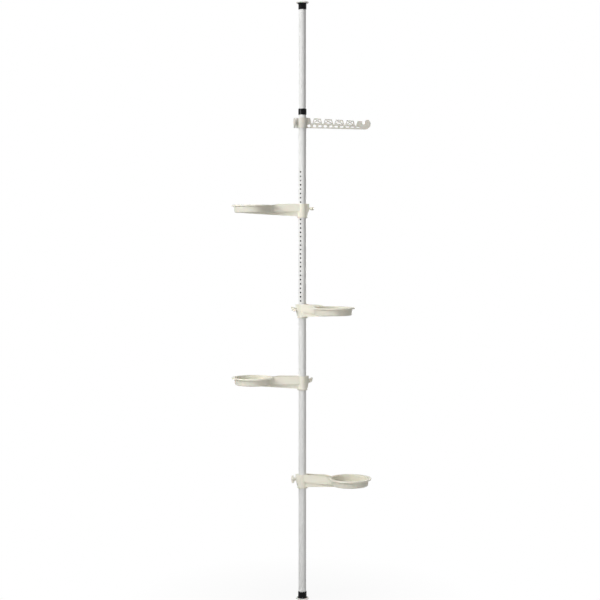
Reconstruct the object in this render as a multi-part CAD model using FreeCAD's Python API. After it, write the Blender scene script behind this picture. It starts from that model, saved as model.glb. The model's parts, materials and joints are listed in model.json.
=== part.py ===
import FreeCAD, Part
import math
import os

V = FreeCAD.Vector

# All sizes are in millimetres and bearings in degrees, counted from +X towards +Y.
# The pole stands on the origin, with its axis along +Z.

# Pole and its ends
overall_height = 3000.0
tube_diameter = 38.0
tube_wall = 1.0
upper_tube_diameter = 35.0
upper_tube_wall = 1.0
tube_joint_height = 1447.0
joint_length = 120.0
joint_wall = 2.4
joint_shoulder = 2.0
collar_top_height = 2473.0
collar_height = 30.0
collar_lip = 6.0
collar_wall = 1.5
floor_pad_diameter = 65.0
ceiling_pad_diameter = 62.0
pad_thickness = 6.0
pad_edge = 1.2
pad_spigot_diameter = 29.6
pad_spigot_height = 3.0
pad_groove_count = 3
pad_groove_width = 1.6
pad_groove_depth = 0.8
cap_base = 6.0
cap_wall = 2.6
cap_flare = 3.0
cap_flare_height = 2.5
cap_taper_height = 4.0
bottom_cap_height = 33.0
top_cap_height = 31.0
cap_spigot_height = 20.0
cap_spigot_wall = 3.0
cap_web = 1.8

# Setting holes, carriage and tension spring inside the middle tube
hole_diameter = 8.4
hole_pitch = 21.49
hole_count = 31
top_hole_height = 2159.0
hole_bearing = 240.0
carriage_height = 44.0
carriage_post_height = 12.0
button_diameter = 7.8
button_shoulder = 10.8
button_shoulder_length = 2.4
button_seat_radius = 12.0
button_pocket_depth = 8.0
button_recess = 0.1
spring_length = 130.0
spring_turns = 9
spring_diameter = 25.0
spring_wire = 3.0
plug_flange = 3.0
plug_length = 30.0
plug_wall = 3.5

# Clearances
press_gap = 0.15
slide_gap = 0.3
spring_gap = 0.1
thread_gap = 0.1

# Clamp rings shared by the trays and the hanger arm
sleeve_wall = 1.8
sleeve_slit = 2.5
sleeve_drop = 1.0
ring_wall = 3.0
boss_half_width = 8.0
screw_diameter = 8.0
nut_width = 11.0
shoe_diameter = 10.8
shoe_thickness = 2.6
shoe_gap = 0.25

# Trays
tray_heights = (2000.4, 1498.3, 1135.3, 637.6)
tray_bearings = (180.0, -53.0, 180.0, -17.0)
knob_bearings = (0.0, 202.0, 35.0, 194.0)
knob_turns = (90.0, 60.0, 45.0, 5.0)
bowl_reach = 248.0
bowl_radius = 96.0
bowl_draft = 5.5
bowl_depth = 38.0
rim_drop = 6.0
tray_wall = 2.5
tray_floor = 2.5
lip_width = 11.5
lip_thickness = 2.4
lip_skirt = 6.0
neck_root_depth = 37.0
neck_root_width = 41.0
neck_end_width = 54.0
neck_fillet = 32.0
bottom_fillet = 5.0
rim_curve_start = 108.0
rim_curve_end = 160.0
ring_skirt = 22.5
bracket_depth = 18.5
bracket_reach = 290.0
bracket_tip_depth = 2.5
bracket_root_width = 28.0
bracket_tip_width = 16.0
bracket_wall = 2.5
foot_thickness = 3.2
foot_width = 2.6
foot_edge = 0.8
clamp_edge = 0.8
clamp_boss_reach = 34.0
clamp_boss_spread = 50.0
clamp_boss_straight = 31.0
clamp_boss_slope = 6.0
gusset_drop = 15.0
gusset_toe = 0.8
key_width = 10.0
key_reach = 6.0
key_margin = 8.0
knob_height = 24.0
tray_nut_length = 5.5
tray_screw_travel = 2.5
knob_standoff = 2.4
wing_span = 40.0
wing_length = 20.0
wing_thickness = 8.0
wing_tip_thickness = 5.0
hub_edge = 1.6
hub_diameter = 17.0
hub_neck_diameter = 13.0
hub_neck_length = 4.0
screw_grip = 14.0
fixing_reaches = (52.0, 102.0)
fixing_diameter = 3.5
fixing_head_diameter = 7.2
fixing_head_height = 2.4
fixing_boss_wall = 2.6
fixing_boss_height = 9.0
fixing_seat_drop = 11.0
fixing_bite = 7.0

# Hanger arm
arm_top_height = 2427.8
arm_bearing = 5.0
arm_height = 50.0
arm_foot_slope = 0.016
arm_thickness = 10.0
arm_knob_diameter = 50.0
arm_knob_length = 8.5
arm_knob_scallops = 10
arm_knob_scallop_radius = 5.0
arm_knob_scallop_depth = 2.0
arm_hub_diameter = 24.0
arm_knob_standoff = 2.0
arm_boss_reach = 30.5
arm_nut_length = 4.0
arm_shoe_thickness = 2.2
arm_screw_travel = 1.9
lower_chord = 3.5
middle_chord = 5.0
middle_chord_top = 27.0
middle_chord_slope = 0.04
crest_drop = 1.0
crest_slope = 0.052
root_block_reach = 38.0
notch_count = 5
first_notch = 47.7
notch_pitch = 54.9
notch_top_width = 21.0
notch_foot_width = 5.0
oval_count = 10
first_oval = 33.0
oval_pitch = 27.4
oval_width = 18.0
oval_margin = 0.5
lattice_strip = 3.4
end_block_end = 299.5
hook_gap_width = 15.6
hook_gap_depth = 30.0
hook_tip_drop = 7.0
hook_width = 27.5
hook_radius = 26.0

# Radii and heights that follow from the sizes above
tube_radius = tube_diameter / 2
tube_bore = tube_radius - tube_wall
upper_radius = upper_tube_diameter / 2
upper_bore = upper_radius - upper_tube_wall
pad_spigot = pad_spigot_diameter / 2
tube_foot_height = pad_thickness + cap_base
upper_tube_top = overall_height - pad_thickness - cap_base
collar_seat_height = collar_top_height - collar_lip
carriage_top = top_hole_height + carriage_height / 2
plug_height = carriage_top + spring_length
upper_tube_foot = plug_height + plug_flange
spring_radius = spring_diameter / 2
spring_post = spring_radius - spring_wire / 2 - slide_gap
sleeve_bore = tube_radius + slide_gap
sleeve_radius = sleeve_bore + sleeve_wall
ring_bore = sleeve_radius + slide_gap
ring_radius = ring_bore + ring_wall
screw_radius = screw_diameter / 2
tray_depth = rim_drop + bowl_depth
ring_foot = tray_depth + ring_skirt
bowl_start = bowl_reach - bowl_radius
lip_radius = bowl_radius + lip_width
shoe_face = sleeve_radius + shoe_gap
fixing_radius = fixing_diameter / 2


def revolved(points):
    """A closed profile of (radius, height) points turned about the pole axis."""
    wire = Part.makePolygon([V(r, 0, z) for r, z in points + points[:1]])
    return Part.Face(wire).revolve(V(0, 0, 0), V(0, 0, 1), 360)


def ring(outer, inner, low, high):
    """A plain ring on the pole axis."""
    return revolved([(inner, low), (outer, low), (outer, high), (inner, high)])


def rod(radius, start, end, height):
    """A cylinder along X from start to end, at a height on the pole axis."""
    direction = V(1, 0, 0) if end > start else V(-1, 0, 0)
    return Part.makeCylinder(radius, abs(end - start), V(start, 0, height), direction)


def post(radius, x, low, high):
    """An upright cylinder at a distance x from the pole axis."""
    return Part.makeCylinder(radius, high - low, V(x, 0, low))


def side_prism(edges, width):
    """A face in the XZ plane, bounded by edges, thickened to a width across Y."""
    face = Part.Face(Part.Wire(edges))
    face.translate(V(0, -width / 2, 0))
    return face.extrude(V(0, width, 0))


def side_edges(points):
    """Straight edges through (x, z) points, closed."""
    corners = [V(x, 0, z) for x, z in points]
    return [Part.LineSegment(a, b).toShape() for a, b in zip(corners, corners[1:] + corners[:1])]


def plan_prism(points, low, high):
    """A closed outline of (x, y) points raised from low to high."""
    wire = Part.makePolygon([V(x, y, low) for x, y in points + points[:1]])
    return Part.Face(wire).extrude(V(0, 0, high - low))


def taper_plan(start, end, start_width, end_width):
    """The outline of a strip along X whose width changes evenly."""
    a = start_width / 2
    b = end_width / 2
    return [(start, -a), (end, -b), (end, b), (start, a)]


def line_edge(a, b):
    """A straight edge between two (x, z) points."""
    return Part.LineSegment(V(a[0], 0, a[1]), V(b[0], 0, b[1])).toShape()


def arc_edge(a, middle, b):
    """A circular edge through three (x, z) points."""
    return Part.Arc(V(a[0], 0, a[1]), V(middle[0], 0, middle[1]), V(b[0], 0, b[1])).toShape()


def hexagon(width, start, end, height):
    """A hexagonal bar along X, with its width across flats."""
    corner = width / math.sqrt(3)
    points = []
    for k in range(7):
        angle = math.radians(60 * k)
        points.append(V(start, corner * math.sin(angle), height + corner * math.cos(angle)))
    return Part.Face(Part.makePolygon(points)).extrude(V(end - start, 0, 0))


def placed(shape, bearing, height):
    """A shape made along +X, turned to its bearing and raised to its height."""
    turned = shape.copy()
    turned.rotate(V(0, 0, 0), V(0, 0, 1), bearing)
    turned.translate(V(0, 0, height))
    return turned


def along_bearing(bearing, radius, height):
    """The point at a radius from the pole axis, at a bearing and height."""
    angle = math.radians(bearing)
    return V(radius * math.cos(angle), radius * math.sin(angle), height)


def pad(diameter):
    """A soft disc with grip grooves in its face and a spigot, lying face down on the floor."""
    edge = diameter / 2
    groove_pitch = edge / (pad_groove_count + 1)
    points = [(0, 0)]
    for k in range(1, pad_groove_count + 1):
        inner = groove_pitch * k - pad_groove_width / 2
        outer = inner + pad_groove_width
        points += [(inner, 0), (inner, pad_groove_depth), (outer, pad_groove_depth), (outer, 0)]
    points += [(edge - pad_edge, 0), (edge, pad_edge), (edge, pad_thickness - pad_edge)]
    points += [(edge - pad_edge, pad_thickness), (pad_spigot, pad_thickness)]
    points += [(pad_spigot, pad_thickness + pad_spigot_height), (0, pad_thickness + pad_spigot_height)]
    return revolved(points)


def cap(outer, bore, height):
    """An end cap that stands on z 0 and takes a tube of the given outer radius and bore."""
    socket = outer + press_gap
    grip = socket + cap_wall
    flare = grip + cap_flare
    spigot = bore - press_gap
    hollow = spigot - cap_spigot_wall
    recess = pad_spigot + press_gap
    recess_top = pad_spigot_height + press_gap
    taper_top = cap_flare_height + cap_taper_height
    points = [(recess, 0), (flare - pad_edge, 0), (flare, pad_edge), (flare, cap_flare_height)]
    points += [(grip, taper_top), (grip, height - pad_edge), (grip - pad_edge, height)]
    points += [(socket, height), (socket, cap_base), (spigot, cap_base)]
    points += [(spigot, cap_base + cap_spigot_height), (hollow, cap_base + cap_spigot_height)]
    points += [(hollow, recess_top + cap_web), (0, recess_top + cap_web), (0, recess_top)]
    points += [(recess, recess_top)]
    return revolved(points)


def floor_pad():
    return pad(floor_pad_diameter)


def ceiling_pad():
    disc = pad(ceiling_pad_diameter)
    disc.rotate(V(0, 0, 0), V(1, 0, 0), 180)
    disc.translate(V(0, 0, overall_height))
    return disc


def bottom_cap():
    foot = cap(tube_radius, tube_bore, bottom_cap_height)
    foot.translate(V(0, 0, pad_thickness))
    return foot


def top_cap():
    head = cap(upper_radius, upper_bore, top_cap_height)
    head.rotate(V(0, 0, 0), V(1, 0, 0), 180)
    head.translate(V(0, 0, overall_height - pad_thickness))
    return head


def lower_tube():
    return ring(tube_radius, tube_bore, tube_foot_height, tube_joint_height - joint_shoulder / 2)


def tube_joint():
    """The inner sleeve that lines up the lower and middle tubes, with a shoulder between them."""
    outer = tube_bore - press_gap
    inner = outer - joint_wall
    low = tube_joint_height - joint_length / 2
    high = tube_joint_height + joint_length / 2
    foot = tube_joint_height - joint_shoulder / 2
    head = tube_joint_height + joint_shoulder / 2
    lead = joint_wall / 2
    points = [(inner, low), (outer - lead, low), (outer, low + lead), (outer, foot)]
    points += [(tube_radius, foot), (tube_radius, head), (outer, head)]
    points += [(outer, high - lead), (outer - lead, high), (inner, high)]
    return revolved(points)


def middle_tube():
    """The holed tube that the upper tube slides in."""
    tube = ring(tube_radius, tube_bore, tube_joint_height + joint_shoulder / 2, collar_seat_height)
    direction = along_bearing(hole_bearing, 1, 0)
    drills = []
    for k in range(hole_count):
        height = top_hole_height - hole_pitch * k
        start = along_bearing(hole_bearing, tube_bore / 2, height)
        drills.append(Part.makeCylinder(hole_diameter / 2, tube_radius, start, direction))
    return tube.cut(Part.makeCompound(drills))


def guide_collar():
    """The collar on top of the middle tube, whose lip guides the upper tube."""
    outer = tube_radius + press_gap + collar_wall
    low = collar_top_height - collar_height
    edge = collar_wall / 2
    points = [(tube_radius + press_gap, low), (outer - edge, low), (outer, low + 2 * edge)]
    points += [(outer, collar_top_height - 2 * edge), (outer - 2 * edge, collar_top_height)]
    points += [(upper_radius + slide_gap, collar_top_height), (upper_radius + slide_gap, collar_seat_height)]
    points += [(tube_radius + press_gap, collar_seat_height)]
    return revolved(points)


def button_bar(radius, start, end):
    """A round bar on the axis of the top setting hole."""
    base = along_bearing(hole_bearing, start, top_hole_height)
    direction = along_bearing(hole_bearing, 1, 0)
    return Part.makeCylinder(radius, end - start, base, direction)


def spring_carriage():
    """The plug that the tension spring stands on, with the pocket of the snap button."""
    outer = tube_bore - slide_gap
    low = top_hole_height - carriage_height / 2
    lead = slide_gap * 4
    post_top = carriage_top + carriage_post_height
    points = [(0, low), (outer - lead, low), (outer, low + lead), (outer, carriage_top - lead)]
    points += [(outer - lead, carriage_top), (spring_post, carriage_top)]
    points += [(spring_post, post_top - lead), (spring_post - lead, post_top), (0, post_top)]
    stem_hole = button_bar(button_diameter / 2 + slide_gap, button_seat_radius, tube_radius)
    pocket = button_bar(button_shoulder / 2 + slide_gap, button_seat_radius - button_pocket_depth,
                        button_seat_radius)
    return revolved(points).cut(stem_hole).cut(pocket)


def snap_button():
    """The sprung button, flush with the outside of the middle tube at rest."""
    shoulder_end = button_seat_radius - spring_gap
    stem = button_bar(button_diameter / 2, shoulder_end, tube_radius - button_recess)
    shoulder = button_bar(button_shoulder / 2, shoulder_end - button_shoulder_length, shoulder_end)
    return stem.fuse(shoulder).removeSplitter()


def helix_point(turn):
    """A point of the tension spring's centre line, and its direction there."""
    low = carriage_top + spring_wire / 2 + spring_gap
    rise = (spring_length - spring_wire - 2 * spring_gap) / spring_turns
    angle = 2 * math.pi * turn
    point = V(spring_radius * math.cos(angle), spring_radius * math.sin(angle), low + rise * turn)
    across = 2 * math.pi * spring_radius
    tangent = V(-math.sin(angle) * across, math.cos(angle) * across, rise)
    return point, tangent.normalize()


def tangent_arc(start, tangent, end):
    """The arc from start to end that leaves start along a tangent."""
    chord = end - start
    along = V(chord).normalize()
    lean = tangent - along * tangent.dot(along)
    bend = math.atan2(lean.Length, tangent.dot(along))
    middle = start + chord * 0.5 + lean.normalize() * (chord.Length / 2 * math.tan(bend / 2))
    return Part.Arc(start, middle, end).toShape()


def spring_path():
    """The spring's centre line as pairs of arcs, a pair for each quarter turn."""
    edges = []
    for k in range(4 * spring_turns):
        start, leaving = helix_point(k / 4)
        end, arriving = helix_point((k + 1) / 4)
        span = end - start
        both = span.dot(leaving + arriving)
        turn = 2 * (1 - leaving.dot(arriving))
        reach = (math.sqrt(both ** 2 + turn * span.dot(span)) - both) / turn
        middle = (start + end) * 0.5 + (leaving - arriving) * (reach / 2)
        edges.append(tangent_arc(start, leaving, middle))
        back = tangent_arc(end, arriving * -1, middle)
        edges.append(back)
    return Part.Wire(Part.__sortEdges__(edges))


def spring_clearance():
    """The least gap between the spring's turns, measured on points of its centre line."""
    steps = 48
    points = [helix_point(k / steps)[0] for k in range(steps * spring_turns + 1)]
    least = spring_length
    for k, point in enumerate(points):
        for other in points[k + steps // 2:]:
            least = min(least, point.distanceToPoint(other))
    return least - spring_wire


def tension_spring():
    """The coil spring that presses the upper tube against the ceiling."""
    print("least gap between spring turns, mm:", round(spring_clearance(), 2))
    path = spring_path()
    start, tangent = helix_point(0)
    section = Part.Wire(Part.makeCircle(spring_wire / 2, start, tangent))
    return path.makePipeShell([section], True, False)


def upper_tube():
    return ring(upper_radius, upper_bore, upper_tube_foot, upper_tube_top)


def upper_tube_plug():
    """The plug in the foot of the upper tube that the tension spring pushes on."""
    spigot = upper_bore - press_gap
    hollow = spigot - plug_wall
    nose = spring_post
    lead = slide_gap * 4
    nose_low = plug_height - carriage_post_height
    top = upper_tube_foot + plug_length
    points = [(0, nose_low), (nose - lead, nose_low), (nose, nose_low + lead), (nose, plug_height)]
    points += [(upper_radius, plug_height), (upper_radius, upper_tube_foot)]
    points += [(spigot, upper_tube_foot), (spigot, top), (hollow, top), (hollow, upper_tube_foot)]
    points += [(0, upper_tube_foot)]
    return revolved(points)


def bowl_wall(height):
    """The outer radius of a bowl at a height below the neck's top."""
    return bowl_radius + bowl_draft * (height + rim_drop) / bowl_depth


def bowl_cone(inset, low):
    """A bowl's round body, drawn in by inset, from a height up to the neck's top."""
    return Part.makeCone(bowl_wall(low) - inset, bowl_wall(0) - inset, -low, V(bowl_reach, 0, low))


def neck_prism(inset, low, high):
    """The tapered neck between the clamp ring and the bowl, drawn in by inset."""
    root = neck_root_width - 2 * inset
    end = neck_end_width - 2 * inset
    return plan_prism(taper_plan(0, bowl_reach - bowl_radius / 2, root, end), low, high)


def neck_foot(x):
    """The height of the neck's underside, which falls evenly from the clamp ring to the bowl."""
    share = (x - ring_radius) / (bowl_start - ring_radius)
    return -neck_root_depth - share * (tray_depth - neck_root_depth)


def neck_wedge(rise):
    """The space under the neck's sloping underside, raised by rise."""
    low = -2 * tray_depth
    points = [(0, neck_foot(0)), (bowl_start, -tray_depth), (bowl_start, low), (0, low)]
    wedge = side_prism(side_edges(points), 2 * neck_end_width)
    wedge.translate(V(0, 0, rise))
    return wedge


def rim_cutter():
    """The space above the wall's top edge, which falls in a flat S from the neck to the rim."""
    half = (rim_curve_end - rim_curve_start) / 2
    drop = rim_drop / 2
    radius = (half ** 2 + drop ** 2) / (2 * drop)
    bend = math.asin(half / radius) / 2
    step = radius * math.sin(bend)
    fall = radius * (1 - math.cos(bend))
    start = (rim_curve_start, 0)
    middle = (rim_curve_start + half, -drop)
    end = (rim_curve_end, -rim_drop)
    far = bowl_reach + 2 * lip_radius
    edges = [arc_edge(start, (start[0] + step, -fall), middle)]
    edges.append(arc_edge(middle, (end[0] - step, fall - rim_drop), end))
    corners = [end, (far, -rim_drop), (far, tray_depth), (rim_curve_start, tray_depth), start]
    edges += [line_edge(a, b) for a, b in zip(corners, corners[1:])]
    return side_prism(edges, 4 * lip_radius)


def bowl_lip():
    """The outward lip round the bowl, turned down at its edge and open at the neck."""
    root = bowl_radius - tray_wall / 2
    edge = lip_thickness / 2
    skirt = -rim_drop - lip_skirt
    points = [(root, -rim_drop), (lip_radius - edge, -rim_drop), (lip_radius, -rim_drop - edge)]
    points += [(lip_radius, skirt), (lip_radius - lip_thickness, skirt)]
    points += [(lip_radius - lip_thickness, -rim_drop - lip_thickness), (root, -rim_drop - lip_thickness)]
    lip = revolved(points)
    lip.translate(V(bowl_reach, 0, 0))
    return lip.cut(neck_prism(0, -tray_depth, tray_depth))


def tray_shell():
    """The bowl and its neck, outside only, with the hollow corners between them rounded."""
    body = bowl_cone(0, -tray_depth).fuse(neck_prism(0, -tray_depth, 0)).removeSplitter()
    corners = []
    for edge in body.Edges:
        box = edge.BoundBox
        upright = box.ZLength > tray_depth * 0.9
        if upright and box.Center.x > ring_radius and abs(box.Center.y) < neck_end_width:
            corners.append(edge)
    body = body.makeFillet(neck_fillet, corners)
    feet = [e for e in body.Edges if e.BoundBox.ZMax < bottom_fillet - tray_depth]
    return body.makeFillet(bottom_fillet, feet).cut(neck_wedge(0))


def clamp_key(gap, bearing):
    """The upright key that locks a tray's neck to its clamp ring, grown by gap."""
    height = neck_root_depth - 2 * key_margin + 2 * gap
    key = Part.makeBox(ring_wall + key_reach + gap, key_width + 2 * gap, height)
    key.translate(V(ring_radius - ring_wall / 2, -key_width / 2 - gap, key_margin - neck_root_depth - gap))
    key.rotate(V(0, 0, 0), V(0, 0, 1), bearing)
    return key


def clamp_boss_plan():
    """The plan of a screw boss, which narrows from the ring's wall to the boss's face."""
    root = along_bearing(clamp_boss_spread, ring_radius - ring_wall / 2, 0)
    plan = taper_plan(-root.x, -clamp_boss_reach, 2 * root.y, 2 * boss_half_width)
    return plan_prism(plan, -ring_foot, ring_foot)


def clamp_ring(key_bearing):
    """The ring that grips the pole, with its screw boss towards -X and a key for the tray."""
    edge = clamp_edge
    points = [(ring_bore, -ring_foot), (ring_radius - edge, -ring_foot)]
    points += [(ring_radius, edge - ring_foot), (ring_radius, -edge)]
    points += [(ring_radius - edge, 0), (ring_bore, 0)]
    body = revolved(points)
    toe = -tray_depth - gusset_drop
    points = [(0, 0), (edge - clamp_boss_reach, 0), (-clamp_boss_reach, -edge)]
    points += [(-clamp_boss_reach, -clamp_boss_straight), (clamp_boss_slope - clamp_boss_reach, -tray_depth)]
    points += [(-ring_radius - gusset_toe, toe), (0, toe)]
    boss = side_prism(side_edges(points), 2 * ring_radius).common(clamp_boss_plan())
    body = body.fuse([boss, clamp_key(0, key_bearing)])
    body = body.cut(post(ring_bore, 0, -2 * ring_foot, ring_foot))
    bores = clamp_bores(clamp_boss_reach, tray_screw_travel, shoe_thickness, tray_nut_length, -knob_height)
    return body.cut(bores).removeSplitter()


def clamp_bores(boss_reach, travel, thickness, nut_length, height):
    """The stepped hole for a shoe, screw and nut behind a clamp ring."""
    shoe_end = -(shoe_face + thickness + travel + slide_gap)
    shoe_hole = rod(shoe_diameter / 2 + slide_gap, 0, shoe_end, height)
    screw_hole = rod(screw_radius + slide_gap, 0, -2 * boss_reach, height)
    nut_hole = hexagon(nut_width + 2 * press_gap, nut_length - boss_reach, -2 * boss_reach, height)
    return shoe_hole.fuse([screw_hole, nut_hole])


def tray():
    """A bowl and its trough neck, whose end is hollowed to sit on the clamp ring."""
    floor = tray_floor - tray_depth
    seat = ring_radius + press_gap
    shell = tray_shell().fuse(bowl_lip())
    shell = shell.cut(rim_cutter())
    bowl_hollow = bowl_cone(tray_wall, floor)
    trough = neck_prism(tray_wall, floor, tray_depth)
    trough = trough.cut(bowl_cone(0, -tray_depth)).cut(post(seat + tray_wall, 0, -tray_depth, tray_depth))
    shell = shell.cut(bowl_hollow).cut(trough.cut(neck_wedge(tray_floor)))
    boss_radius = fixing_radius + thread_gap + fixing_boss_wall
    drills = [post(seat, 0, -2 * tray_depth, tray_depth), clamp_key(press_gap, 0)]
    for x in fixing_reaches:
        boss_foot = neck_foot(x) + tray_floor / 2
        shell = shell.fuse(post(boss_radius, x, boss_foot, neck_foot(x) + tray_floor + fixing_boss_height))
        drills.append(post(fixing_radius + thread_gap, x, -2 * tray_depth, neck_foot(x) + fixing_bite))
    for drill in drills:
        shell = shell.cut(drill)
    return shell.removeSplitter()


def bracket_profile(inset):
    """The bracket's side outline below the tray, drawn in by inset."""
    top = -tray_depth
    root = top - bracket_depth + inset
    tip = top - bracket_tip_depth + inset
    start = inset
    end = bracket_reach - inset
    points = [(start, neck_foot(start)), (bowl_start, top), (end, top)]
    if tip < top:
        points.append((end, tip))
    points += [(ring_radius, root), (start, root)]
    return side_edges(points)


def bracket_beam(inset):
    """The tapered support arm, drawn in by inset on its sides, nose and foot."""
    width = bracket_root_width - 2 * inset
    tip_width = bracket_tip_width - 2 * inset
    side = side_prism(bracket_profile(inset), bracket_root_width)
    plan = plan_prism(taper_plan(0, bracket_reach - inset, width, tip_width), -2 * ring_foot, 0)
    return side.common(plan)


def tray_bracket():
    """The support under a tray: a hollow tapered arm with pillars for its two screws."""
    seat = ring_radius + press_gap
    hollow = bracket_beam(bracket_wall).cut(post(seat + bracket_wall, 0, -2 * ring_foot, 0))
    pillar = fixing_head_diameter / 2 + slide_gap + fixing_boss_wall
    columns = [post(pillar, x, -ring_foot, 0) for x in fixing_reaches]
    hollow = hollow.cut(Part.makeCompound(columns))
    body = bracket_beam(0).cut(hollow)
    body = body.cut(post(seat, 0, -2 * ring_foot, 0))
    for x in fixing_reaches:
        head_seat = neck_foot(x) - fixing_seat_drop
        body = body.cut(post(fixing_radius + slide_gap, x, -2 * ring_foot, 0))
        body = body.cut(post(fixing_head_diameter / 2 + slide_gap, x, -2 * ring_foot, head_seat))
    return body.removeSplitter()


def bracket_screws():
    """The two screws that hold a bracket to its tray, head down."""
    screws = []
    for x in fixing_reaches:
        seat = neck_foot(x) - fixing_seat_drop
        tip = neck_foot(x) + fixing_bite - thread_gap
        foot = seat - fixing_head_height
        head = post(fixing_head_diameter / 2, x, foot, seat)
        shank = post(fixing_radius, x, seat, tip)
        recess = Part.makeBox(fixing_head_diameter * 0.6, fixing_head_height / 3, fixing_head_height / 2)
        recess.translate(V(x - fixing_head_diameter * 0.3, -fixing_head_height / 6, foot))
        cross = recess.copy()
        cross.rotate(V(x, 0, 0), V(0, 0, 1), 90)
        screws.append(head.fuse(shank).removeSplitter().cut(recess).cut(cross))
    return Part.makeCompound(screws)


def slit_sleeve(low, high):
    """The split liner between the tube and a clamp ring."""
    body = ring(sleeve_radius, sleeve_bore, low, high)
    slit = Part.makeBox(sleeve_slit, 2 * ring_radius, high - low)
    slit.translate(V(-sleeve_slit / 2, 0, low))
    return body, slit


def grip_sleeve():
    """A tray's liner, with the flared foot that carries the bracket."""
    foot_top = -ring_foot - slide_gap
    low = foot_top - foot_thickness
    flare = ring_radius + foot_width
    body, slit = slit_sleeve(low, -sleeve_drop)
    points = [(sleeve_bore, low), (flare - foot_edge, low), (flare, low + foot_edge)]
    points += [(flare, foot_top - foot_edge), (flare - foot_edge, foot_top), (sleeve_bore, foot_top)]
    return body.fuse(revolved(points)).removeSplitter().cut(slit)


def pressure_shoe(thickness, height):
    """The pad at a lock screw's tip, hollowed to the liner it presses on."""
    back = -(shoe_face + thickness)
    disc = rod(shoe_diameter / 2, back, 0, height)
    return disc.cut(post(shoe_face, 0, height - shoe_diameter, height + shoe_diameter))


def nut_insert(boss_reach, nut_length, height):
    """The captive nut in a clamp boss."""
    nut = hexagon(nut_width, nut_length - boss_reach - press_gap, -boss_reach, height)
    return nut.cut(rod(screw_radius + press_gap, 0, -2 * boss_reach, height))


def lock_screw(thickness, end, height):
    """A threaded rod from the shoe's back into the knob."""
    return rod(screw_radius, -(shoe_face + thickness + spring_gap), end, height)


def wing_outline():
    """The knob's two wings in side view, from its foot to its end."""
    half = wing_span / 2
    foot = hub_neck_length
    shoulder = wing_length * 0.42
    tip = wing_length * 0.68
    corner = wing_length * 0.94
    edges = []
    for sign in (1, -1):
        waist = (foot, sign * hub_diameter * 0.4)
        rise = (shoulder, sign * half * 0.86)
        peak = (tip, sign * half)
        heel = (corner, sign * half * 0.84)
        end = (wing_length, sign * hub_diameter * 0.3)
        edges += [line_edge(waist, rise), arc_edge(rise, peak, heel), line_edge(heel, end)]
    edges.append(line_edge((foot, hub_diameter * 0.4), (foot, -hub_diameter * 0.4)))
    edges.append(line_edge((wing_length, hub_diameter * 0.3), (wing_length, -hub_diameter * 0.3)))
    return Part.__sortEdges__(edges)


def wing_plan():
    """The wings seen along the screw: a strip that thins to two round ends."""
    tip = wing_tip_thickness / 2
    root = hub_diameter * 0.4
    end = wing_span / 2
    side = wing_thickness / 2
    edges = []
    for sign in (1, -1):
        corners = [V(0, side, sign * root), V(0, tip, sign * (end - tip)), V(0, 0, sign * end)]
        corners += [V(0, -tip, sign * (end - tip)), V(0, -side, sign * root)]
        edges.append(Part.LineSegment(corners[0], corners[1]).toShape())
        edges.append(Part.Arc(corners[1], corners[2], corners[3]).toShape())
        edges.append(Part.LineSegment(corners[3], corners[4]).toShape())
    for y in (side, -side):
        edges.append(Part.LineSegment(V(0, y, root), V(0, y, -root)).toShape())
    outline = Part.Wire(Part.__sortEdges__(edges))
    return Part.Face(outline).extrude(V(2 * wing_length, 0, 0))


def wing_knob(turn):
    """A wing knob, its foot towards the pole, turned about the screw's axis."""
    wings = side_prism(wing_outline(), wing_thickness).common(wing_plan())
    neck = hub_neck_diameter / 2
    hub = hub_diameter / 2
    points = [(0, 0), (neck, 0), (neck, hub_neck_length), (hub, hub_neck_length + hub - neck)]
    points += [(hub, wing_length - hub_edge), (hub - hub_edge, wing_length), (0, wing_length)]
    core = revolved(points)
    core.rotate(V(0, 0, 0), V(0, 1, 0), 90)
    body = core.fuse(wings).removeSplitter()
    body = body.cut(rod(screw_radius + press_gap, 0, screw_grip, 0))
    body.rotate(V(0, 0, 0), V(1, 0, 0), turn)
    body.rotate(V(0, 0, 0), V(0, 0, 1), 180)
    body.translate(V(-clamp_boss_reach - knob_standoff, 0, -knob_height))
    return body


def disc_knob():
    """The hanger arm's round knob, with a scalloped edge and a hub towards the boss."""
    edge = pad_edge
    radius = arm_knob_diameter / 2
    hub = arm_hub_diameter / 2
    start = arm_knob_standoff
    end = start + arm_knob_length
    points = [(0, 0), (hub, 0), (hub, start), (radius - edge, start), (radius, start + edge)]
    points += [(radius, end - edge), (radius - edge, end), (0, end)]
    body = revolved(points)
    for k in range(arm_knob_scallops):
        angle = math.radians(360 * (k + 0.5) / arm_knob_scallops)
        reach = radius + arm_knob_scallop_radius - arm_knob_scallop_depth
        centre = V(reach * math.cos(angle), reach * math.sin(angle), start)
        body = body.cut(Part.makeCylinder(arm_knob_scallop_radius, 2 * arm_knob_length, centre))
    body = body.cut(Part.makeCylinder(screw_radius + press_gap, arm_knob_length, V(0, 0, 0)))
    body.rotate(V(0, 0, 0), V(0, 1, 0), -90)
    body.translate(V(-arm_boss_reach - slide_gap - arm_screw_travel, 0, -arm_height / 2))
    return body


def chord_top(x):
    """The height of the middle chord's upper edge."""
    return -middle_chord_top - middle_chord_slope * (x - first_notch)


def crest(x):
    """The height of the lattice blocks' upper edge."""
    return -crest_drop - crest_slope * (x - first_notch)


def arm_foot(x):
    """The height of the arm's underside, which falls slightly towards the hook."""
    return -arm_height - arm_foot_slope * (x - ring_radius)


def notch_centre(k):
    return first_notch + notch_pitch * k


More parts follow.
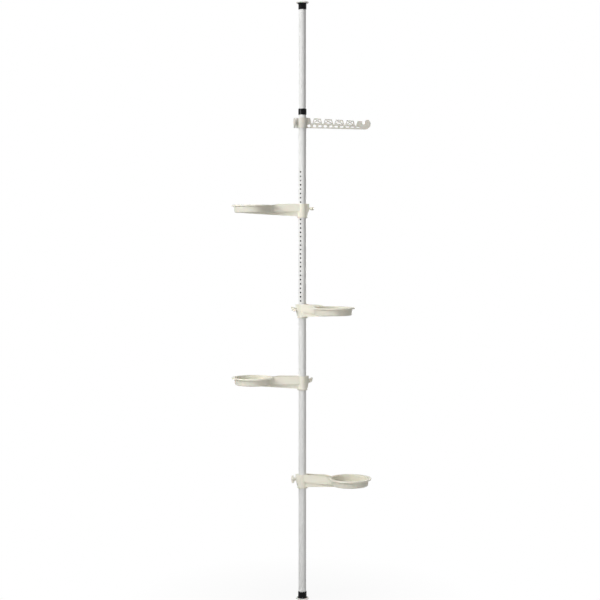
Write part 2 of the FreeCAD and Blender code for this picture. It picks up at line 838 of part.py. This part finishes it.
def lattice_outline():
    """The arm's side outline: notched crest, end block, hook and straight foot."""
    wide = notch_top_width / 2
    narrow = notch_foot_width / 2
    points = [(0, arm_foot(0)), (0, 0), (root_block_reach, 0)]
    for k in range(notch_count):
        x = notch_centre(k)
        if k > 0:
            points.append((x - wide, crest(x - wide)))
        points += [(x - narrow, chord_top(x)), (x + narrow, chord_top(x))]
        points.append((x + wide, crest(x + wide)))
    points.append((end_block_end, crest(end_block_end)))
    edges = [line_edge(a, b) for a, b in zip(points, points[1:])]
    return edges + hook_edges(points[-1], points[0])


def hook_edges(start, finish):
    """The hook's edges: its gap, a round tip, and a round back that runs into the tip and the arm's foot."""
    half = hook_gap_width / 2
    floor = -hook_gap_depth
    left = (start[0], floor + half)
    right = (start[0] + hook_gap_width, floor + half)
    back_x = right[0] + hook_width - hook_radius
    heel = (back_x, arm_foot(back_x))
    back_z = heel[1] + hook_radius
    rise = -hook_tip_drop - heel[1]
    spread = hook_width + rise - 2 * hook_radius
    tip_radius = spread - hook_radius
    tip_radius += math.sqrt(spread ** 2 - hook_width ** 2 - rise ** 2 + 4 * hook_radius ** 2)
    tip_x = right[0] + tip_radius
    tip_z = -hook_tip_drop - tip_radius
    share = hook_radius / (hook_radius - tip_radius)
    join = (back_x + share * (tip_x - back_x), back_z + share * (tip_z - back_z))
    lip = (right[0], tip_z)
    crown = (tip_x, -hook_tip_drop)
    bulge = (right[0] + hook_width, back_z)
    return [line_edge(start, left), arc_edge(left, (left[0] + half, floor), right), line_edge(right, lip),
            arc_edge(lip, crown, join), arc_edge(join, bulge, heel), line_edge(heel, finish)]


def inset_triangle(a, b, c, inset):
    """A triangle of (x, z) corners moved inwards by inset on every side."""
    sides = [math.dist(b, c), math.dist(c, a), math.dist(a, b)]
    around = sum(sides)
    centre = [sum(s * p[k] for s, p in zip(sides, (a, b, c))) / around for k in (0, 1)]
    area = abs((b[0] - a[0]) * (c[1] - a[1]) - (c[0] - a[0]) * (b[1] - a[1])) / 2
    share = 1 - inset * around / 2 / area
    return [tuple(centre[k] + share * (p[k] - centre[k]) for k in (0, 1)) for p in (a, b, c)]


def block_windows(k):
    """The four triangular windows left by the crossed braces of a lattice block."""
    wide = notch_top_width / 2
    narrow = notch_foot_width / 2
    rim = lattice_strip / 2
    left = notch_centre(k)
    right = notch_centre(k + 1)
    top_left = (left + wide + rim, crest(left + wide) - rim)
    top_right = (right - wide - rim, crest(right - wide) - rim)
    foot_left = (left + narrow + 2 * rim, chord_top(left) + rim)
    foot_right = (right - narrow - 2 * rim, chord_top(right) + rim)
    share = math.dist(top_left, top_right)
    share = share / (share + math.dist(foot_left, foot_right))
    middle = tuple(top_left[n] + share * (foot_right[n] - top_left[n]) for n in (0, 1))
    corners = [top_left, top_right, foot_right, foot_left]
    windows = []
    for a, b in zip(corners, corners[1:] + corners[:1]):
        windows.append(side_prism(side_edges(inset_triangle(a, b, middle, rim)), 2 * arm_thickness))
    return windows


def oval_window(k):
    """An opening between the lower and middle chords, as high as the chords leave room for."""
    x = first_oval + oval_pitch * k
    low = -arm_height + lower_chord
    high = chord_top(x) - middle_chord - oval_margin
    radius = (high - low) / 2
    level = (high + low) / 2
    flat = max(oval_width / 2 - radius, 0.1)
    edges = [line_edge((x - flat, low), (x + flat, low)), line_edge((x + flat, high), (x - flat, high))]
    edges.append(arc_edge((x + flat, low), (x + flat + radius, level), (x + flat, high)))
    edges.append(arc_edge((x - flat, high), (x - flat - radius, level), (x - flat, low)))
    return side_prism(Part.__sortEdges__(edges), 2 * arm_thickness)


def hanger_arm():
    """The lattice arm with its clamp ring and screw boss."""
    lattice = side_prism(lattice_outline(), arm_thickness)
    windows = [oval_window(k) for k in range(oval_count)]
    for k in range(notch_count - 1):
        windows += block_windows(k)
    lattice = lattice.cut(Part.makeCompound(windows))
    boss = Part.makeBox(arm_boss_reach, 2 * boss_half_width, arm_height)
    boss.translate(V(-arm_boss_reach, -boss_half_width, -arm_height))
    body = lattice.fuse([post(ring_radius, 0, -arm_height, 0), boss])
    body = body.cut(post(ring_bore, 0, -2 * arm_height, arm_height))
    bores = clamp_bores(arm_boss_reach, arm_screw_travel, arm_shoe_thickness, arm_nut_length, -arm_height / 2)
    return body.cut(bores).removeSplitter()


def arm_sleeve():
    body, slit = slit_sleeve(sleeve_drop - arm_height, -sleeve_drop)
    return body.cut(slit)


def pole_pieces():
    return {
        "floor_pad": floor_pad(),
        "bottom_cap": bottom_cap(),
        "lower_tube": lower_tube(),
        "tube_joint": tube_joint(),
        "middle_tube": middle_tube(),
        "guide_collar": guide_collar(),
        "spring_carriage": spring_carriage(),
        "snap_button": snap_button(),
        "tension_spring": tension_spring(),
        "upper_tube": upper_tube(),
        "upper_tube_plug": upper_tube_plug(),
        "top_cap": top_cap(),
        "ceiling_pad": ceiling_pad(),
    }


def tray_pieces():
    """The tray and its support, made along +X with the neck's top at height 0."""
    return {
        "tray": tray(),
        "tray_bracket": tray_bracket(),
        "bracket_screws": bracket_screws(),
    }


def clamp_pieces(key_bearing, turn):
    """A tray's clamp, made with its knob towards -X and the ring's top at height 0."""
    screw_end = -(clamp_boss_reach + knob_standoff + screw_grip - press_gap)
    return {
        "clamp_ring": clamp_ring(key_bearing),
        "grip_sleeve": grip_sleeve(),
        "pressure_shoe": pressure_shoe(shoe_thickness, -knob_height),
        "nut_insert": nut_insert(clamp_boss_reach, tray_nut_length, -knob_height),
        "lock_screw": lock_screw(shoe_thickness, screw_end, -knob_height),
        "lock_knob": wing_knob(turn),
    }


def arm_pieces():
    """The hanger arm's pieces, made along +X with the arm's top at height 0."""
    level = -arm_height / 2
    knob_foot = arm_boss_reach + slide_gap + arm_screw_travel
    screw_end = -(knob_foot + arm_knob_length - press_gap)
    return {
        "hanger_arm": hanger_arm(),
        "arm_sleeve": arm_sleeve(),
        "arm_shoe": pressure_shoe(arm_shoe_thickness, level),
        "arm_nut": nut_insert(arm_boss_reach, arm_nut_length, level),
        "arm_screw": lock_screw(arm_shoe_thickness, screw_end, level),
        "arm_knob": disc_knob(),
    }


def main():
    pieces = pole_pieces()
    for name, shape in arm_pieces().items():
        pieces[name] = placed(shape, arm_bearing, arm_top_height)
    tray_set = tray_pieces()
    for k, height in enumerate(tray_heights):
        for name, shape in tray_set.items():
            pieces[f"{name}_{k + 1}"] = placed(shape, tray_bearings[k], height)
        back = knob_bearings[k] - 180
        clamp = clamp_pieces(tray_bearings[k] - back, knob_turns[k])
        for name, shape in clamp.items():
            pieces[f"{name}_{k + 1}"] = placed(shape, back, height)
    os.makedirs("parts", exist_ok=True)
    for name, shape in pieces.items():
        shape.exportStep(f"parts/{name}.step")


main()
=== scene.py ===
import json
import math

import bpy
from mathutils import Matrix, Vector


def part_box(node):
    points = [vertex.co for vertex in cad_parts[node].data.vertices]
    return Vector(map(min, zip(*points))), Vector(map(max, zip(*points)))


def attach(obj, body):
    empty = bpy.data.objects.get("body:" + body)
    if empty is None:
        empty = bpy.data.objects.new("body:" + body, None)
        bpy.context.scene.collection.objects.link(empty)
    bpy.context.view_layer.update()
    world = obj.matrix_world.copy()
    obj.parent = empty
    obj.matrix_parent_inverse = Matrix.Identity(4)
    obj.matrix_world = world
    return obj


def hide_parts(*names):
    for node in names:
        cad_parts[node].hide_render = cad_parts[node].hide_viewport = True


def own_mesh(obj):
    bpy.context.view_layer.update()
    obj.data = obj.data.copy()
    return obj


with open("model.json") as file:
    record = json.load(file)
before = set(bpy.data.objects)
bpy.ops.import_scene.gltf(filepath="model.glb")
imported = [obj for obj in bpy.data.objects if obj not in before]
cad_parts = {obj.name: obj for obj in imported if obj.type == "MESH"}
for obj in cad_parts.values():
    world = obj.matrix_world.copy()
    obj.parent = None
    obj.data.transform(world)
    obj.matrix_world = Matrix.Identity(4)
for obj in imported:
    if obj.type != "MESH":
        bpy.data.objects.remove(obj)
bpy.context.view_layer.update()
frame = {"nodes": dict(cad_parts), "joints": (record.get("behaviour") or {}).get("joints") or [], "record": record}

# Camera, in metres: it stands in front of the rack and looks slightly down
CAMERA_DISTANCE = 6.45
CAMERA_HEIGHT = 1.84
CAMERA_SIDE = -0.012
CAMERA_DIP = math.radians(2.851)
CAMERA_SIGHT = 100.0

# Camera lens and sensor, in millimetres
FOCAL_LENGTH = 77.15
SENSOR_WIDTH = 36.0

# Spring: its wire in metres, its turns, and the mesh's steps a turn and sides round the wire
SPRING_WIRE = 0.003
SPRING_TURNS = 9
SPRING_STEPS = 48
SPRING_SIDES = 14

# Screw thread: its pitch and depth in metres, and the mesh's rows a turn and sides round the screw
THREAD_PITCH = 0.00125
THREAD_DEPTH = 0.00065
THREAD_ROWS = 8
THREAD_SIDES = 24

# Thread flanks, in thread depths: their rise over a pitch, and how far below the root they would meet
FLANK_RISE = 3
FLANK_MEETING = 0.25

# Snap button, in metres, and the mesh's sides, its crown's steps in degrees and the angle left sharp
BUTTON_RADIUS = 0.0039
BUTTON_SHOULDER = 0.0024
BUTTON_CROWN = 0.0012
BUTTON_SIDES = 36
BUTTON_STEP = 10
BUTTON_SHARP = math.radians(40)

# Inside these radii, in metres, a tube's wall shows bare steel darkened to near-black, painted shade in the bore
# and the holes' walls, with a short change at the radius
TUBE_SKIN = 0.0187
UPPER_TUBE_SKIN = 0.0172
SKIN_CHANGE = 0.0001

# Floor, in metres: half its width, its drop below the pad, and where its fade to white starts and ends
FLOOR_HALF_WIDTH = 30.0
FLOOR_DROP = 0.0005
FLOOR_FADE_START = 0.15
FLOOR_FADE_END = 0.9

# Share of white in the floor next to the pole
FLOOR_NEAR_WHITE = 0.93

# Linear colours
PAINT_WHITE = (0.78, 0.78, 0.766)
IVORY = (0.81, 0.785, 0.676)
LINER = (0.74, 0.72, 0.64)
ARM_IVORY = (0.65, 0.627, 0.56)
BLACK = (0.004, 0.004, 0.0045)
# Near-black bore: bare steel darkened as painted shade
BORE_STEEL_AND_SHADE = (0.012, 0.012, 0.0115)
PAD = (0.86, 0.86, 0.81)
INNER_GREY = (0.23, 0.23, 0.225)
ZINC = (0.62, 0.62, 0.6)
SPRING_STEEL = (0.3, 0.3, 0.31)
BLUED_STEEL = (0.012, 0.012, 0.013)
FLOOR = (0.45, 0.45, 0.446)
WHITE = (1, 1, 1, 1)

# Numbers of the colour sockets of a Mix node
MIX_FIRST = 6
MIX_SECOND = 7
MIX_RESULT = 2


class Nodes:
    """A cleared node tree with its output, and short calls that add and join nodes."""

    def __init__(self, owner, output):
        owner.use_nodes = True
        self.owner = owner
        self.tree = owner.node_tree
        self.tree.nodes.clear()
        self.output = self.add(output)

    def add(self, kind, **values):
        node = self.tree.nodes.new(kind)
        for name, value in values.items():
            setattr(node, name, value)
        return node

    def link(self, source, target):
        self.tree.links.new(source, target)

    def place(self, stretch=(1, 1, 1)):
        """Object coordinates, stretched."""
        coordinates = self.add("ShaderNodeTexCoord")
        mapping = self.add("ShaderNodeMapping")
        mapping.inputs["Scale"].default_value = stretch
        self.link(coordinates.outputs["Object"], mapping.inputs["Vector"])
        return mapping.outputs["Vector"]

    def distance(self, stretch=(1, 1, 1)):
        """The distance from the origin, in stretched object coordinates."""
        length = self.add("ShaderNodeVectorMath", operation="LENGTH")
        self.link(self.place(stretch), length.inputs[0])
        return length.outputs["Value"]

    def noise(self, scale, detail=2.0, stretch=(1, 1, 1)):
        """A noise value from 0 to 1, with scale in features a metre."""
        texture = self.add("ShaderNodeTexNoise")
        texture.inputs["Scale"].default_value = scale
        texture.inputs["Detail"].default_value = detail
        self.link(self.place(stretch), texture.inputs["Vector"])
        return texture.outputs["Fac"]

    def cells(self, scale):
        """Distance to the nearest cell centre, for a grained surface."""
        texture = self.add("ShaderNodeTexVoronoi")
        texture.inputs["Scale"].default_value = scale
        self.link(self.place(), texture.inputs["Vector"])
        return texture.outputs["Distance"]

    def ranged(self, value, low=0.0, high=1.0, start=0.3, end=0.7):
        """A value between start and end, mapped to low and high."""
        node = self.add("ShaderNodeMapRange")
        for name, number in (("From Min", start), ("From Max", end), ("To Min", low), ("To Max", high)):
            node.inputs[name].default_value = number
        self.link(value, node.inputs["Value"])
        return node.outputs["Result"]

    def mixed(self, factor, first, second):
        """A colour between two colours, each a colour or a socket."""
        node = self.add("ShaderNodeMix", data_type="RGBA")
        self.link(factor, node.inputs["Factor"])
        for socket, colour in ((node.inputs[MIX_FIRST], first), (node.inputs[MIX_SECOND], second)):
            if isinstance(colour, tuple):
                socket.default_value = (*colour, 1)
            else:
                self.link(colour, socket)
        return node.outputs[MIX_RESULT]

    def bump(self, height, strength, depth, normal=None):
        """A normal bent by a height value; depth is in metres."""
        node = self.add("ShaderNodeBump")
        node.inputs["Strength"].default_value = strength
        node.inputs["Distance"].default_value = depth
        self.link(height, node.inputs["Height"])
        if normal is not None:
            self.link(normal, node.inputs["Normal"])
        return node.outputs["Normal"]

    def surface(self, colour, roughness, normal, **constants):
        """The finished material from a colour, a roughness and a normal."""
        shader = self.add("ShaderNodeBsdfPrincipled")
        self.link(colour, shader.inputs["Base Color"])
        self.link(roughness, shader.inputs["Roughness"])
        self.link(normal, shader.inputs["Normal"])
        for name, value in constants.items():
            shader.inputs[name.replace("_", " ")].default_value = value
        self.link(shader.outputs["BSDF"], self.output.inputs["Surface"])
        return self.owner

    def background_rays(self):
        """One for rays that show the background: from the camera, a reflection or a clear piece."""
        path = self.add("ShaderNodeLightPath")
        value = path.outputs["Is Camera Ray"]
        for name in ("Is Glossy Ray", "Is Transmission Ray"):
            either = self.add("ShaderNodeMath", operation="MAXIMUM")
            self.link(value, either.inputs[0])
            self.link(path.outputs[name], either.inputs[1])
            value = either.outputs["Value"]
        return value

    def backed(self, factor, lit, white):
        """The finished output: the lit shader, or white by the factor."""
        mix = self.add("ShaderNodeMixShader")
        self.link(factor, mix.inputs["Fac"])
        self.link(lit, mix.inputs[1])
        self.link(white, mix.inputs[2])
        self.link(mix.outputs["Shader"], self.output.inputs["Surface"])


def material_nodes(name):
    """The empty node tree of a new material."""
    return Nodes(bpy.data.materials.new(name), "ShaderNodeOutputMaterial")


def shade(colour, factor):
    return tuple(c * factor for c in colour)


def edge_wear_and_sheen(nodes, colour, edge_colour):
    """A colour that turns to edge_colour on convex edges: partly wear, partly a painted sheen where edges catch
    the light.
    """
    geometry = nodes.add("ShaderNodeNewGeometry")
    convex = nodes.ranged(geometry.outputs["Pointiness"], start=0.52, end=0.6)
    return nodes.mixed(convex, colour, edge_colour)


def powder_coat(name, skin):
    """White powder coat with a fine orange peel and cloudy gloss, and near-black bare steel inside the skin's
    radius as painted shade in the bore and the holes' walls.
    """
    nodes = material_nodes(name)
    cloud = nodes.ranged(nodes.noise(scale=9, detail=3))
    paint = nodes.mixed(cloud, shade(PAINT_WHITE, 0.975), PAINT_WHITE)
    radius = nodes.distance(stretch=(1, 1, 0))
    outside = nodes.ranged(radius, start=skin - SKIN_CHANGE, end=skin + SKIN_CHANGE)
    # Painted shade: the bore and the holes' walls go near-black, darker than bare steel
    colour = nodes.mixed(outside, BORE_STEEL_AND_SHADE, paint)
    roughness = nodes.ranged(nodes.noise(scale=55, detail=4), 0.42, 0.54)
    peel = nodes.bump(nodes.noise(scale=620), strength=0.12, depth=0.0002)
    return nodes.surface(colour, roughness, peel, Specular_IOR_Level=0.2)


def moulded(name, base, rough=(0.4, 0.52)):
    """Moulded plastic: fine spark grain, faint flow marks and paler edges, partly wear and partly painted sheen.
    """
    nodes = material_nodes(name)
    marks = nodes.ranged(nodes.noise(scale=7, detail=4, stretch=(3, 3, 10)))
    colour = nodes.mixed(marks, shade(base, 0.965), base)
    specks = nodes.ranged(nodes.noise(scale=420, detail=5), start=0.62, end=0.75)
    colour = nodes.mixed(specks, colour, shade(base, 0.94))
    # Paler convex edges: partly wear, partly painted sheen
    colour = edge_wear_and_sheen(nodes, colour, shade(base, 1.06))
    roughness = nodes.ranged(nodes.noise(scale=90, detail=3), *rough)
    grain = nodes.bump(nodes.noise(scale=1500, detail=3), strength=0.16, depth=0.00015)
    swell = nodes.bump(nodes.noise(scale=22), strength=0.05, depth=0.0006, normal=grain)
    return nodes.surface(colour, roughness, swell, Subsurface_Weight=0.06, Subsurface_Scale=0.003,
                         Specular_IOR_Level=0.28)


def black_plastic():
    """Black moulded plastic with a leather-like grain."""
    nodes = material_nodes("black_plastic")
    dust = nodes.ranged(nodes.noise(scale=130, detail=5), start=0.55, end=0.8)
    colour = nodes.mixed(dust, BLACK, shade(BLACK, 1.9))
    # Paler convex edges: partly wear, partly painted sheen
    colour = edge_wear_and_sheen(nodes, colour, shade(BLACK, 2.6))
    roughness = nodes.ranged(nodes.noise(scale=200, detail=3), 0.14, 0.22)
    grain = nodes.bump(nodes.cells(scale=800), strength=0.12, depth=0.0001)
    return nodes.surface(colour, roughness, grain, Specular_IOR_Level=0.1)


def soft_pad():
    """Pale soft pad material, slightly see-through at its edge."""
    nodes = material_nodes("soft_pad")
    cloud = nodes.ranged(nodes.noise(scale=70, detail=4))
    colour = nodes.mixed(cloud, shade(PAD, 0.93), PAD)
    roughness = nodes.ranged(nodes.noise(scale=260), 0.45, 0.6)
    skin = nodes.bump(nodes.noise(scale=900, detail=3), strength=0.2, depth=0.0002)
    return nodes.surface(colour, roughness, skin, Subsurface_Weight=0.1, Subsurface_Scale=0.002)


def plated(name, base, rough):
    """Plated or drawn metal with fine streaks."""
    nodes = material_nodes(name)
    streaks = nodes.ranged(nodes.noise(scale=160, detail=4, stretch=(1, 1, 9)))
    colour = nodes.mixed(streaks, shade(base, 0.82), base)
    roughness = nodes.ranged(nodes.noise(scale=400, detail=3), *rough)
    scratches = nodes.bump(nodes.noise(scale=900, detail=3, stretch=(1, 1, 6)), strength=0.15, depth=0.0001)
    return nodes.surface(colour, roughness, scratches, Metallic=1.0)


def by_slot():
    """One material for each of the record's slots."""
    return {
        "tube_white": powder_coat("tube_coat", TUBE_SKIN),
        "ivory": moulded("ivory_plastic", IVORY),
        "liner": moulded("liner_plastic", LINER, rough=(0.45, 0.6)),
        "black": black_plastic(),
        "pad": soft_pad(),
        "inner": moulded("inner_plastic", INNER_GREY, rough=(0.45, 0.6)),
        "steel": plated("zinc_plate", ZINC, rough=(0.26, 0.4)),
        "spring_steel": plated("spring_steel", SPRING_STEEL, rough=(0.3, 0.45)),
    }


def dress(materials):
    """Gives every carried-over node its material."""
    special = {
        "upper_tube": powder_coat("upper_tube_coat", UPPER_TUBE_SKIN),
        "hanger_arm": moulded("arm_plastic", ARM_IVORY),
        "arm_knob": moulded("arm_knob_plastic", ARM_IVORY),
    }
    for part in frame["record"]["subparts"]:
        name = part["node"]
        data = frame["nodes"][name].data
        data.materials.clear()
        data.materials.append(special.get(name, materials[part["material_slot"]]))


def joint_named(name):
    return next(joint for joint in frame["joints"] if joint["name"] == name)


def add_object(name, data):
    """An object in the scene with a mesh, lamp or camera."""
    made = bpy.data.objects.new(name, data)
    bpy.context.scene.collection.objects.link(made)
    return made


def add_mesh(name, points, faces, material):
    """An object with a smooth mesh."""
    mesh = bpy.data.meshes.new(name)
    mesh.from_pydata(points, [], faces)
    mesh.shade_smooth()
    mesh.materials.append(material)
    return add_object(name, mesh)


def ring_points(centre, side, other, radii):
    """Points round a centre, one for each radius, in the plane of two unit directions."""
    points = []
    for k, radius in enumerate(radii):
        angle = 2 * math.pi * k / len(radii)
        points.append(centre + (side * math.cos(angle) + other * math.sin(angle)) * radius)
    return points


def grid_faces(rows, around):
    """Quads between rings of points, with a cap on the first and the last ring."""
    faces = []
    for row in range(rows - 1):
        for k in range(around):
            after = (k + 1) % around
            faces.append((row * around + k, row * around + after,
                          (row + 1) * around + after, (row + 1) * around + k))
    faces.append(tuple(reversed(range(around))))
    faces.append(tuple(range((rows - 1) * around, rows * around)))
    return faces


def coil_spring(material):
    """The round-wire spring in the middle tube, which moves with the carriage."""
    low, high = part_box("tension_spring")
    wire = SPRING_WIRE / 2
    radius = (high.x - low.x) / 2 - wire
    rise = high.z - low.z - SPRING_WIRE
    climb = rise / (2 * math.pi * SPRING_TURNS)
    steps = SPRING_STEPS * SPRING_TURNS
    points = []
    for step in range(steps + 1):
        turn = 2 * math.pi * SPRING_TURNS * step / steps
        outward = Vector((math.cos(turn), math.sin(turn), 0))
        along = Vector((-math.sin(turn) * radius, math.cos(turn) * radius, climb))
        upward = along.normalized().cross(outward) * -1
        centre = outward * radius + Vector((0, 0, low.z + wire + rise * step / steps))
        points += ring_points(centre, outward, upward, [wire] * SPRING_SIDES)
    spring = add_mesh("coil_spring", points, grid_faces(steps + 1, SPRING_SIDES), material)
    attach(spring, "carriage")
    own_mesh(spring)
    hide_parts("tension_spring")


def threaded_rod(node, body, material):
    """A lock screw with a rolled thread, in the place of its plain rod."""
    hinge = next(joint for joint in frame["joints"] if joint["child"] == body)
    axis = Vector(hinge["axis"]).normalized()
    low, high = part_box(node)
    centre = (low + high) / 2
    outer = (high.z - low.z) / 2
    half = max((v.co - centre).dot(axis) for v in frame["nodes"][node].data.vertices)
    side = axis.orthogonal().normalized()
    other = axis.cross(side)
    rows = 2 + THREAD_ROWS * round(2 * half / THREAD_PITCH)
    points = []
    for row in range(rows):
        reach = half * (2 * row / (rows - 1) - 1)
        taper = min(1, (half - abs(reach)) / THREAD_PITCH)
        radii = []
        for k in range(THREAD_SIDES):
            phase = (reach / THREAD_PITCH - k / THREAD_SIDES) % 1
            crest = min(1, max(0, FLANK_RISE * abs(phase - 0.5) - FLANK_MEETING)) * taper
            radii.append(outer - THREAD_DEPTH * (1 - crest))
        points += ring_points(centre + axis * reach, side, other, radii)
    rod = add_mesh(f"threaded_{node}", points, grid_faces(rows, THREAD_SIDES), material)
    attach(rod, body)
    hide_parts(node)


def domed_button(material):
    """The snap button with a crowned end, in the place of its flat-ended bar."""
    outward = -Vector(joint_named("button_press")["axis"]).normalized()
    low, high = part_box("snap_button")
    centre = Vector((0, 0, (low.z + high.z) / 2))
    reaches = [v.co.dot(outward) for v in frame["nodes"]["snap_button"].data.vertices]
    start = min(reaches)
    end = max(reaches)
    neck = start + BUTTON_SHOULDER
    flange = (high.z - low.z) / 2
    profile = [(start, flange), (neck, flange), (neck, BUTTON_RADIUS)]
    for degrees in range(0, 90, BUTTON_STEP):
        lean = math.radians(degrees)
        profile.append((end - BUTTON_CROWN * (1 - math.sin(lean)), BUTTON_RADIUS * math.cos(lean)))
    side = Vector((0, 0, 1))
    other = outward.cross(side)
    points = []
    for reach, radius in profile:
        points += ring_points(centre + outward * reach, side, other, [radius] * BUTTON_SIDES)
    button = add_mesh("domed_button", points, grid_faces(len(profile), BUTTON_SIDES), material)
    button.data.set_sharp_from_angle(angle=BUTTON_SHARP)
    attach(button, "button")
    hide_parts("snap_button")


def add_pieces(materials):
    """The pieces whose real form is finer than their solids."""
    coil_spring(materials["spring_steel"])
    domed_button(plated("blued_steel", BLUED_STEEL, rough=(0.3, 0.42)))
    for body, members in frame["record"]["behaviour"]["bodies"].items():
        for node in members:
            if node.startswith("lock_screw") or node == "arm_screw":
                threaded_rod(node, body, materials["steel"])


def floor_paint():
    """Pale paint that runs out to white away from the pole."""
    nodes = material_nodes("floor")
    diffuse = nodes.add("ShaderNodeBsdfDiffuse")
    diffuse.inputs["Color"].default_value = (*FLOOR, 1)
    white = nodes.add("ShaderNodeEmission")
    fade = nodes.ranged(nodes.distance(), FLOOR_NEAR_WHITE, 1, FLOOR_FADE_START, FLOOR_FADE_END)
    seen = nodes.add("ShaderNodeMath", operation="MULTIPLY")
    nodes.link(nodes.background_rays(), seen.inputs[0])
    nodes.link(fade, seen.inputs[1])
    nodes.backed(seen.outputs["Value"], diffuse.outputs["BSDF"], white.outputs["Emission"])
    return nodes.owner


def stage_floor():
    """A pale floor that holds the shadow near the pole."""
    half = FLOOR_HALF_WIDTH
    plan = [(-half, -half), (half, -half), (half, half), (-half, half)]
    corners = [(x, y, -FLOOR_DROP) for x, y in plan]
    floor = add_mesh("floor", corners, [(0, 1, 2, 3)], floor_paint())


def stage_world(level_light, overhead_light):
    """A white surround that lights the object softly, and more from overhead."""
    world = bpy.data.worlds.new("surround")
    bpy.context.scene.world = world
    nodes = Nodes(world, "ShaderNodeOutputWorld")
    direction = nodes.add("ShaderNodeTexCoord")
    parts = nodes.add("ShaderNodeSeparateXYZ")
    nodes.link(direction.outputs["Generated"], parts.inputs["Vector"])
    soft = nodes.add("ShaderNodeBackground")
    soft.inputs["Color"].default_value = WHITE
    strength = nodes.ranged(parts.outputs["Z"], level_light, overhead_light, start=0, end=1)
    nodes.link(strength, soft.inputs["Strength"])
    white = nodes.add("ShaderNodeBackground")
    white.inputs["Color"].default_value = WHITE
    nodes.backed(nodes.background_rays(), soft.outputs["Background"], white.outputs["Background"])


def soft_lamp(name, place, aim, size, watts, spread=180):
    """A square area lamp that looks at a point, with its light's spread in degrees."""
    lamp = bpy.data.lights.new(name, "AREA")
    lamp.size = size
    lamp.energy = watts
    lamp.spread = math.radians(spread)
    holder = add_object(name, lamp)
    holder.location = place
    holder.rotation_mode = "QUATERNION"
    holder.rotation_quaternion = (Vector(aim) - Vector(place)).to_track_quat("-Z", "Y")


def camera():
    """The photograph's view, from a little above the middle of the rack."""
    data = bpy.data.cameras.new("camera")
    data.lens = FOCAL_LENGTH
    data.sensor_width = SENSOR_WIDTH
    data.clip_end = CAMERA_SIGHT
    holder = add_object("camera", data)
    holder.location = (CAMERA_SIDE, -CAMERA_DISTANCE, CAMERA_HEIGHT)
    holder.rotation_euler = (math.pi / 2 - CAMERA_DIP, 0, 0)
    bpy.context.scene.camera = holder


bpy.context.scene.view_settings.view_transform = "Standard"
finishes = by_slot()
dress(finishes)
add_pieces(finishes)
stage_floor()
stage_world(level_light=0.1, overhead_light=0.44)
soft_lamp("key", place=(-2.9, -2.05, 2.75), aim=(0, 0, 1.9), size=1.2, watts=36, spread=120)
soft_lamp("front", place=(0.5, -4.8, 0.7), aim=(0, 0, 0.6), size=1.6, watts=17, spread=90)
soft_lamp("top", place=(-0.8, -1.5, 5.4), aim=(0, 0, 1.0), size=2.0, watts=45)
soft_lamp("rear", place=(1.9, 4.2, 1.9), aim=(0, 0, 1.5), size=1.6, watts=40, spread=120)
camera()
